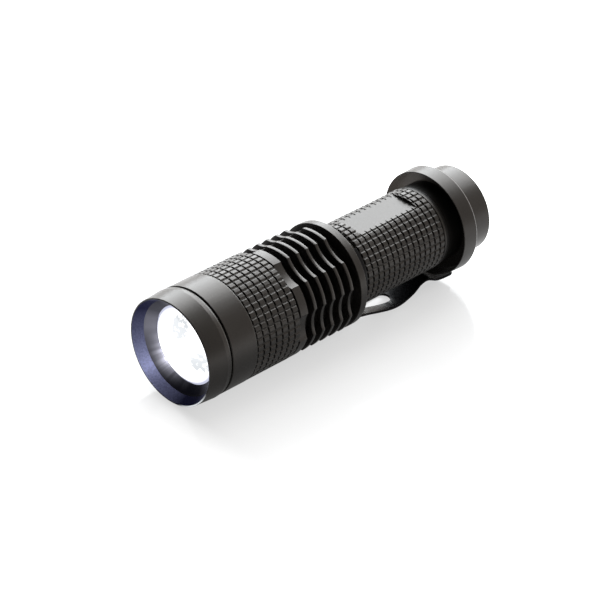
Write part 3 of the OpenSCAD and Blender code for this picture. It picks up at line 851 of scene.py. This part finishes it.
def heat_sink():
    """The collar that slides in the head, the scalloped fins, the round flange and the bores."""
    front, back = FLANGE
    flange = [(CORE_R, front), (FLANGE_R, front), (FLANGE_R, back), (THREAD_R, back)]
    flange = rounded(flange, 0.14, 4, closed=False)
    seal_front = SEAL_AT - SEAL_HALF_W
    seal_back = SEAL_AT + SEAL_HALF_W
    collar = rounded([
        (PILL_R, COLLAR_AT), (COLLAR_R, COLLAR_AT), (COLLAR_R, seal_front), (SEAL_FLOOR_R, seal_front),
        (SEAL_FLOOR_R, seal_back), (COLLAR_R, seal_back), (COLLAR_R, COLLAR_END), (NECK_R, COLLAR_END),
        (NECK_R, FINS[0][0])
    ], 0.15, 3, closed=False)
    bores = [(THREAD_R, TUBE_FRONT), (CELL_BORE_R, TUBE_FRONT), (CELL_BORE_R, PILL_SEAT), (PILL_R, PILL_SEAT)]
    section = collar + fin_points()[1:] + flange + bores
    obj = turned("finned_heat_sink", section, scallop_angles(), scalloped, SINK_SMOOTH)
    show(obj, "barrel", "anodised_black", ANODISED, "heat_sink")


# ---- Battery tube ----

FLAT_H = 9.4
FLAT_AT = 56.0
FLAT_LEN = 18.4
GROOVE_FLOOR_R = 9.6
BAND_R = TUBE_R - 0.1
BAND_END = 79.6
PAINTED_SHADE_FROM = 79
MOUTH_R = 9.95
MOUTH_AT = 79.9
SEAL_POCKET_R = 9.35
SEAL_POCKET_AT = 83.35
THREAD_CREST_R = 8.95
THREAD_AT = 79.2
THREAD_PITCH = 0.8
THREAD_DEPTH = 0.3
THREAD_FORM = ((0.2, 0), (0.36, 0.75), (0.5, 1), (0.64, 0.75), (0.8, 0))


def thread_points(r, start, end, depth):
    """Rounded thread grooves along a stretch; a negative depth cuts outwards."""
    points = []
    at = start
    while at + THREAD_PITCH <= end + 1e-6:
        points += [(r - depth * share, at + THREAD_PITCH * along) for along, share in THREAD_FORM]
        at += THREAD_PITCH
    return points


def battery_tube():
    """The knurled tube with its flat, and the smooth band behind the knurl; its rear end has painted shade,
    near-black.
    """
    lines = lattice(TUBE_KNURL_AT, TUBE_KNURL_END, TUBE_ROWS)
    lines = [s for s in lines if TUBE_KNURL_AT + KNURL_CLEAR <= s <= TUBE_KNURL_END]
    flange_end = FLANGE[1]
    front = [(CELL_BORE_R, TUBE_FRONT), (THREAD_R, TUBE_FRONT), (THREAD_R, flange_end),
             (GROOVE_FLOOR_R, flange_end), (GROOVE_FLOOR_R, TUBE_KNURL_AT),
             (TUBE_R - KNURL_DEPTH, TUBE_KNURL_AT)]
    band = rounded([
        (BAND_R, TUBE_KNURL_END + 0.06), (BAND_R, PAINTED_SHADE_FROM), (BAND_R, BAND_END), (MOUTH_R, MOUTH_AT),
        (MOUTH_R, TUBE_END), (SEAL_POCKET_R, TUBE_END), (SEAL_POCKET_R, SEAL_POCKET_AT)
    ], 0.08, 3, closed=False)
    threads = thread_points(THREAD_CREST_R, BAND_END, 83.2, -THREAD_DEPTH)[::-1]
    section = front + [(TUBE_R, s) for s in lines] + band + [(THREAD_CREST_R, SEAL_POCKET_AT)] + threads
    section += [(THREAD_CREST_R, THREAD_AT), (CELL_BORE_R, THREAD_AT)]
    shape = knurl_shape(TUBE_R, TUBE_FLATS, TUBE_KNURL_AT, TUBE_KNURL_END, TUBE_ROWS)
    obj = turned("knurled_tube", section, knurl_angles(TUBE_R, TUBE_FLATS), shape, KNURL_SMOOTH)
    far_corner = (TUBE_R, FLAT_AT + FLAT_LEN, TUBE_R + 2)
    cutter = box_mesh("flat_cutter", (-TUBE_R, FLAT_AT, FLAT_H), far_corner, 0.02)
    cut(obj, cutter, KNURL_SMOOTH)
    show(obj, "barrel", "anodised_black", ANODISED, "battery_tube")
    # Painted shade: the tube's rear end inside the skirt is near-black.
    paint(obj, CAVITY_PAINTED_SHADE, lambda r, s, up: s > PAINTED_SHADE_FROM + 0.05)


# ---- Pocket clip ----

CLIP_W = 9.4
CLIP_T = 0.6
CLIP_PATH = [
    (49.65, 11.3), (50.6, 11.75), (53, 12.1), (58.75, 13.36), (63, 14.5), (66.5, 15.35), (68.9, 15.65),
    (70.8, 15.55), (72.5, 15.15), (74.6, 14.4), (75.8, 13.7), (76.8, 13), (78.3, 12.55), (79.6, 12.6),
    (81, 13.15), (82, 13.65), (83.2, 14.05), (84.8, 14.3), (86.8, 14.45), (88.6, 14.45)
]
PATH_STEPS = 10
BLADE_EDGE = 0.16
EDGE_TURNS = (0, 30, 60, 90)
TIP_R = 1.2
CLIP_RING = (49.35, 52.3)
CLIP_RING_R = 9.65
CLIP_GAP = 70
RING_STEPS = 110
RISER = (9.95, 11.6)
SLOT = (52.4, 70.6)
SLOT_W = 4
SLOT_STEPS = 24
SLOT_CUT = (11, 17)
CUT_SMOOTH = 50
CLIP_SHADE_FROM = 77.2


def smooth_path(path, steps):
    """Points on a smooth curve through all points of a path."""
    out = []
    last = len(path) - 1
    for i in range(last):
        a, b, c, d = (Vector(path[max(0, min(last, k))]) for k in (i - 1, i, i + 1, i + 2))
        for k in range(steps):
            t = k / steps
            out.append(0.5 * (2 * b + (c - a) * t + (2 * a - 5 * b + 4 * c - d) * t ** 2
                              + (3 * b - a - 3 * c + d) * t ** 3))
    return out + [Vector(path[-1])]


def blade_point(x, s, below):
    """The point x to the side, at a station, so far below the axis."""
    return Vector((x * MM, LIP_Y + s * MM, AXIS_Z - below * MM))


def blade_loop(half_w):
    """Points round the blade's rounded section, each (to the side, through the thickness)."""
    half_t = CLIP_T / 2
    loop = []
    for x, t in ((half_w, half_t), (-half_w, half_t), (-half_w, -half_t), (half_w, -half_t)):
        side = math.copysign(1, x)
        face = math.copysign(1, t)
        turns = [math.radians(v) for v in EDGE_TURNS]
        arc = [(x - side * BLADE_EDGE * (1 - math.cos(a)), t - face * BLADE_EDGE * (1 - math.sin(a)))
               for a in turns]
        loop += arc if side * face > 0 else arc[::-1]
    return loop


def swept_blade():
    """The blade, swept along its path, with a tip that narrows in a curve."""
    middle = smooth_path(CLIP_PATH, PATH_STEPS)
    last = len(middle) - 1
    bm = bmesh.new()
    rings = []
    for i, point in enumerate(middle):
        along = (middle[min(i + 1, last)] - middle[max(i - 1, 0)]).normalized()
        out = Vector((-along.y, along.x))
        left = middle[last].x - point.x
        half_w = CLIP_W / 2
        if left < TIP_R:
            half_w -= TIP_R - math.sqrt(max(TIP_R ** 2 - (TIP_R - left) ** 2, 0))
        places = [(x, point + out * t) for x, t in blade_loop(half_w)]
        rings.append([bm.verts.new(blade_point(x, here.x, here.y)) for x, here in places])
    bridge(bm, rings)
    bm.faces.new(rings[0])
    bm.faces.new(rings[-1])
    return finish_mesh("spring_clip", bm, CUT_SMOOTH)


def slot_cutter():
    """A block with round ends that cuts the slot."""
    half_w = SLOT_W / 2
    outline = []
    for at, first in ((SLOT[0] + half_w, 180), (SLOT[1] - half_w, 0)):
        for k in range(SLOT_STEPS + 1):
            a = math.radians(first + 180 * k / SLOT_STEPS)
            outline.append((half_w * math.cos(a), at + half_w * math.sin(a)))
    bm = bmesh.new()
    low, high = [[bm.verts.new(blade_point(x, s, below)) for x, s in outline] for below in SLOT_CUT]
    bm.faces.new(low)
    bm.faces.new(high)
    bridge(bm, [low, high])
    return finish_mesh("slot_cutter", bm)


def clip_ring():
    """The split ring that holds the clip on the tube."""
    section = rounded([(CLIP_RING_R, CLIP_RING[0]), (TUBE_R + 0.05, CLIP_RING[0]),
                       (TUBE_R + 0.05, CLIP_RING[1]), (CLIP_RING_R, CLIP_RING[1])], 0.12)
    angles = [CLIP_GAP / 2 + (360 - CLIP_GAP) * k / RING_STEPS for k in range(RING_STEPS + 1)]
    bm = bmesh.new()
    rings = [[bm.verts.new(spot(r, a, s)) for r, s in section] for a in angles]
    bridge(bm, rings)
    bm.faces.new(rings[0])
    bm.faces.new(rings[-1])
    return finish_mesh("clip_ring", bm)


def pocket_clip():
    """The slotted blade, its ring and the riser between them, as one piece; its up-facing faces near the tail
    take painted shade, a darker copy of its finish with almost no gloss.
    """
    blade = swept_blade()
    cut(blade, slot_cutter(), CUT_SMOOTH)
    soften(blade, 0.1, 60)
    ring = clip_ring()
    riser = box_mesh("clip_riser", (-CLIP_W / 2, CLIP_RING[0], -RISER[1]),
                     (CLIP_W / 2, CLIP_RING[0] + CLIP_T, -RISER[0]), 0.12)
    obj = joined("pocket_clip_blade", [blade, ring, riser])
    show(obj, "clip", "clip_steel", CLIP_BLACK, "pocket_clip")
    # Painted shade on the clip's up-facing faces near the tail.
    paint(obj, CLIP_PAINTED_SHADE, lambda r, s, up: s > CLIP_SHADE_FROM and up > 0.2)


# ---- Tail cap and switch ----

CAP_R = 10.75
CAP_BORE_R = 7.75
SKIRT_FRONT = 82
SKIRT_FRONT_R = 13.05
SKIRT_END = 86.4
CAVITY_FLOOR = 84.8
SEAL_GROOVE_R = 8.35
SEAL_GROOVE = (83.35, 84.55)
CAP_SPIGOT = 79.5
CAP_THREAD_R = 8.9
CAP_THREAD_END = 83.1
CAP_WALL = 91.9
BOOT_HOLE_R = 6.2


def tail_cap():
    """The cap: a threaded spigot, the cavity in front of its skirt, and the plain rear part."""
    threads = thread_points(CAP_THREAD_R, CAP_SPIGOT + 0.35, CAP_THREAD_END, THREAD_DEPTH)
    groove_front, groove_back = SEAL_GROOVE
    shell = rounded([
        (CAP_THREAD_R, groove_front), (SEAL_GROOVE_R, groove_front), (SEAL_GROOVE_R, groove_back),
        (CAP_THREAD_R, groove_back), (CAP_THREAD_R, CAVITY_FLOOR), (SKIRT_FRONT_R - 0.75, CAVITY_FLOOR),
        (SKIRT_FRONT_R - 0.22, SKIRT_FRONT + 0.05), (SKIRT_FRONT_R - 0.1, SKIRT_FRONT),
        (SKIRT_FRONT_R, SKIRT_FRONT + 0.1), (SKIRT_R, SKIRT_END - 0.42), (SKIRT_R - 0.2, SKIRT_END - 0.08),
        (SKIRT_R - 0.3, SKIRT_END), (CAP_R + 0.15, SKIRT_END), (CAP_R, SKIRT_END + 0.2),
        (CAP_R, BODY_LENGTH - 0.55), (CAP_R - 0.55, BODY_LENGTH), (BOOT_HOLE_R + 0.3, BODY_LENGTH),
        (BOOT_HOLE_R, BODY_LENGTH - 0.3), (BOOT_HOLE_R, CAP_WALL), (CAP_BORE_R, CAP_WALL),
        (CAP_BORE_R, CAP_SPIGOT)
    ], 0.1, closed=False)
    section = [(CAP_THREAD_R - 0.3, CAP_SPIGOT), (CAP_THREAD_R, CAP_SPIGOT + 0.3)] + threads + shell
    obj = turned("tail_cap_shell", section)
    show(obj, "cap", "anodised_black", ANODISED, "tail_cap")
    front = SKIRT_FRONT + 0.04
    back = CAVITY_FLOOR + 0.04
    outer_r = SKIRT_FRONT_R - 0.15
    # Painted light on the cavity's wall and floor.
    paint(obj, SKIRT_WALL, lambda r, s, up: front < s < back and CAP_THREAD_R < r < outer_r)


def switch_boot():
    """One moulded rubber boot, its pad and its rim in one piece."""
    pad_r = 5.7
    rim_r = 7.65
    rim_front = 91.12
    web_at = 91.5
    ribs = []
    for r in (1.2, 2.4, 3.6):
        floor = BOOT_TOP - 0.12
        ribs += [(r - 0.25, BOOT_TOP), (r - 0.1, floor), (r + 0.1, floor), (r + 0.25, BOOT_TOP)]
    rest = [(pad_r - 1.0, BOOT_TOP), (pad_r - 0.35, BOOT_TOP - 0.2), (pad_r, BOOT_TOP - 0.75),
            (pad_r + 0.02, web_at + 0.4), (pad_r + 0.25, web_at + 0.3), (rim_r, CAP_WALL - 0.02),
            (rim_r, rim_front), (pad_r + 0.3, rim_front), (pad_r - 0.2, web_at + 0.1), (0, web_at + 0.1)]
    obj = turned("rubber_boot", [(0, BOOT_TOP)] + ribs + rest)
    obj.data.materials.append(RUBBER)
    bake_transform(obj)
    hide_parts("switch_boot", "boot_rim")


COIL_STEPS = 28
CLOSED_TURNS = 0.12
CLOSED_LIFT = 0.1
TAIL_WIRE = 0.35
TAIL_SPRING_BACK = 85.3
DRIVER_WIRE = 0.25
DRIVER_SPRING_BACK = 28


def coil_points(r1, r2, start, end, turns):
    """Points along a coil spring with closed end turns."""
    steps = int(turns * COIL_STEPS)
    points = []
    for i in range(steps + 1):
        t = i / steps
        eased = min(max((t - CLOSED_TURNS) / (1 - 2 * CLOSED_TURNS), 0), 1)
        lift = CLOSED_LIFT * t + (1 - CLOSED_LIFT) * eased
        points.append(spot(r1 + (r2 - r1) * t, 360 * turns * t, start + (end - start) * lift))
    return points


def springs():
    """The tail spring behind the cell, and the driver's spring in front of it."""
    path = coil_points(3.2, 5, CELL_END + TAIL_WIRE, TAIL_SPRING_BACK - TAIL_WIRE, 5)
    tail = tube_along("tail_coil", path, TAIL_WIRE)
    show(tail, "cap", "spring_gold", SPRING_GOLD, "tail_spring")
    front = station("driver_contact", 1)
    path = coil_points(2.3, 1.7, front + DRIVER_WIRE, DRIVER_SPRING_BACK - DRIVER_WIRE, 4)
    drive = tube_along("driver_coil", path, DRIVER_WIRE)
    show(drive, "barrel", "spring_steel", SPRING_STEEL, "driver_spring")


CELL_BAND = 9
CELL_BASE_R = 5.4


def cell():
    """The cell in a plain shrink sleeve, with a plain metallic band near its button."""
    band_end = CAN_FRONT + CELL_BAND
    section = rounded([
        (0, CAN_FRONT), (CELL_R - 1.6, CAN_FRONT), (CELL_R - 1.5, CAN_FRONT + 0.15),
        (CELL_R - 0.9, CAN_FRONT + 0.15), (CELL_R, CAN_FRONT + 0.8), (CELL_R, band_end),
        (CELL_R, CELL_END - 1), (CELL_R - 0.7, CELL_END - 0.25), (CELL_BASE_R, CELL_END - 0.25),
        (CELL_BASE_R - 0.1, CELL_END - 0.2), (0, CELL_END - 0.2)
    ], 0.3, 4, closed=False)
    obj = turned("sleeved_cell", section)
    show(obj, "cell", "cell_jacket", JACKET, "battery_cell")
    paint(obj, JACKET_BAND, lambda r, s, up: s < band_end)


# ---- CAD nodes that keep their own shape ----

KEPT = {
    "lens_gasket": RUBBER, "lens_retainer": ANODISED_INSIDE, "slide_bushing": NYLON, "head_seal": RUBBER,
    "led_pill": BRASS, "led_board": BOARD_WHITE, "led_emitter": PHOSPHOR, "led_dome": LENS,
    "led_wire_red": WIRE_RED, "led_wire_black": WIRE_BLACK, "driver_board": BOARD_GREEN,
    "driver_inductor": PART_BLACK, "driver_parts": PART_BLACK, "driver_contact": BRASS,
    "battery_nub": PLATED, "battery_base": PLATED, "tail_seal": RUBBER, "switch_retainer": PLATED,
    "switch_board": BOARD_GREEN, "switch_carrier": NYLON, "switch_housing": PART_BLACK,
    "switch_plunger": PLUNGER
}


def finish_kept_nodes():
    """Gives the CAD's own shapes their materials."""
    for name, finish in KEPT.items():
        obj = CAD[name]
        obj.data.materials.clear()
        obj.data.materials.append(finish)


# ---- Floor, light and camera ----

CLIP_REST = (22.05, 0.0)
BEZEL_REST = (-41.75, AXIS_Z / MM - BEZEL_R)
FLOOR_REACH = 3
FLOOR_CUTS = 7
# Painted shadow in the floor's glow: a soft pool along the torch, dimmer still to glossy rays.
POOL_X = 2
POOL_Y = -4
POOL_HALF_LEN = 42
POOL_END_SLOPE = 4.5
POOL_REACH = 80
SHADOW_POOL_LEVELS = ((0, 0.57), (3, 0.63), (8, 0.68), (13, 0.75), (18, 0.8), (28, 0.87), (38, 0.93), (50, 1.0),
               (70, 1.8))
GLOSSY_SHADE = 0.4
GLOSSY_SHADE_NEAR = 15
GLOSSY_SHADE_FAR = 45
SKY_TINT = (1, 0.935, 0.87, 1)
LIGHT_AT = (-0.571, 0.56, 0.602)
LIGHT_SIZE = (1.81, 0.9)
LIGHT_POWER = 58
LIGHT_TINT = (0.9, 0.945, 0.975)
LIGHT_AIM = (0, 0, 0.01)
CAMERA_FROM_LIP = (401.48, -373.81, 374.03)
CAMERA_TURN = (56.769, -1.968, 45.376)
FOCAL_LENGTH = 180


def floor_painted_shadow(tree):
    """The floor's glow with a painted shadow: dimmest in a soft pool along the torch and brighter all round
    it; glossy rays see it dimmer near the torch, a painted shade in the torch's reflections.
    """
    across = math_node(tree, "SUBTRACT", math_node(tree, "DIVIDE", axis(tree, "X"), MM), POOL_X)
    along = math_node(tree, "SUBTRACT", math_node(tree, "DIVIDE", axis(tree, "Y"), MM), POOL_Y)
    past_end = math_node(tree, "SUBTRACT", math_node(tree, "ABSOLUTE", along), POOL_HALF_LEN)
    past_end = math_node(tree, "MULTIPLY", math_node(tree, "MAXIMUM", past_end, 0), POOL_END_SLOPE)
    away = diagonal(tree, across, past_end)
    rays = tree.nodes.new("ShaderNodeLightPath")
    lit = levels(tree, away, SHADOW_POOL_LEVELS, 0, POOL_REACH)
    dimmed = spread(tree, away, GLOSSY_SHADE, 1, GLOSSY_SHADE_NEAR, GLOSSY_SHADE_FAR)
    seen = tree.nodes.new("ShaderNodeMix")
    seen.data_type = "RGBA"
    seen.blend_type = "MULTIPLY"
    tree.links.new(rays.outputs["Is Glossy Ray"], seen.inputs["Factor"])
    tree.links.new(lit, seen.inputs["A"])
    tree.links.new(dimmed, seen.inputs["B"])
    return seen.outputs["Result"]


def white_floor():
    """A glossy white floor, sloped a little as the torch lies on its clip and on the bottom of its bezel."""
    slope = math.atan2(BEZEL_REST[1] - CLIP_REST[1], BEZEL_REST[0] - CLIP_REST[0])
    bm = bmesh.new()
    corners = [(-1, -1), (1, -1), (1, 1), (-1, 1)]
    bm.faces.new([bm.verts.new((x * FLOOR_REACH, y * FLOOR_REACH, 0)) for x, y in corners])
    bmesh.ops.subdivide_edges(bm, edges=bm.edges, cuts=FLOOR_CUTS, use_grid_fill=True)
    floor = finish_mesh("studio_floor", bm)
    tilt = Matrix.Rotation(slope - math.pi, 4, "X")
    floor.data.transform(Matrix.Translation((0, CLIP_REST[0] * MM, CLIP_REST[1] * MM)) @ tilt)
    material, tree, shader = new_material("white_sweep")
    mottle = noise(tree, 30, 2)
    colour = tint(tree, mottle, (0.075, 0.075, 0.075), (0.085, 0.085, 0.085))
    tree.links.new(colour, shader.inputs["Base Color"])
    tree.links.new(spread(tree, mottle, 0.1, 0.14), shader.inputs["Roughness"])
    shader.inputs["Specular IOR Level"].default_value = 0.06
    # The floor's glow holds a painted shadow round the torch.
    glow(tree, shader, floor_painted_shadow(tree), 1)
    floor.data.materials.append(material)


def soft_light():
    """A large rectangular light behind the torch, aimed at it."""
    light = bpy.data.lights.new("back_softbox", "AREA")
    light.shape = "RECTANGLE"
    light.size, light.size_y = LIGHT_SIZE
    light.energy = LIGHT_POWER
    light.color = LIGHT_TINT
    obj = placed("back_softbox", light)
    obj.location = LIGHT_AT
    direction = Vector(LIGHT_AIM) - Vector(LIGHT_AT)
    obj.rotation_euler = direction.to_track_quat("-Z", "Y").to_euler()


def sky():
    """Soft light from all round, weak in front of the torch and stronger behind it."""
    world = bpy.data.worlds.new("studio")
    bpy.context.scene.world = world
    world.use_nodes = True
    tree = world.node_tree
    background = tree.nodes["Background"]
    background.inputs["Color"].default_value = SKY_TINT
    behind = spread(tree, axis(tree, "Y", "Generated"), 0.08, 2.27, -0.05, 1)
    tree.links.new(behind, background.inputs["Strength"])


def studio():
    """The floor, the light and the camera that took the photo's view."""
    white_floor()
    sky()
    soft_light()
    camera = bpy.data.cameras.new("camera")
    camera.lens = FOCAL_LENGTH
    camera.sensor_width = 36
    camera.clip_start = 0.01
    camera.clip_end = 20
    view = placed("camera", camera)
    view.location = Vector((0, LIP_Y, AXIS_Z)) + Vector(CAMERA_FROM_LIP) * MM
    view.rotation_euler = [math.radians(a) for a in CAMERA_TURN]
    bpy.context.scene.camera = view
    bpy.context.scene.view_settings.view_transform = "Standard"


bezel()
lens()
sleeve()
heat_sink()
battery_tube()
pocket_clip()
tail_cap()
switch_boot()
springs()
cell()
finish_kept_nodes()
studio()
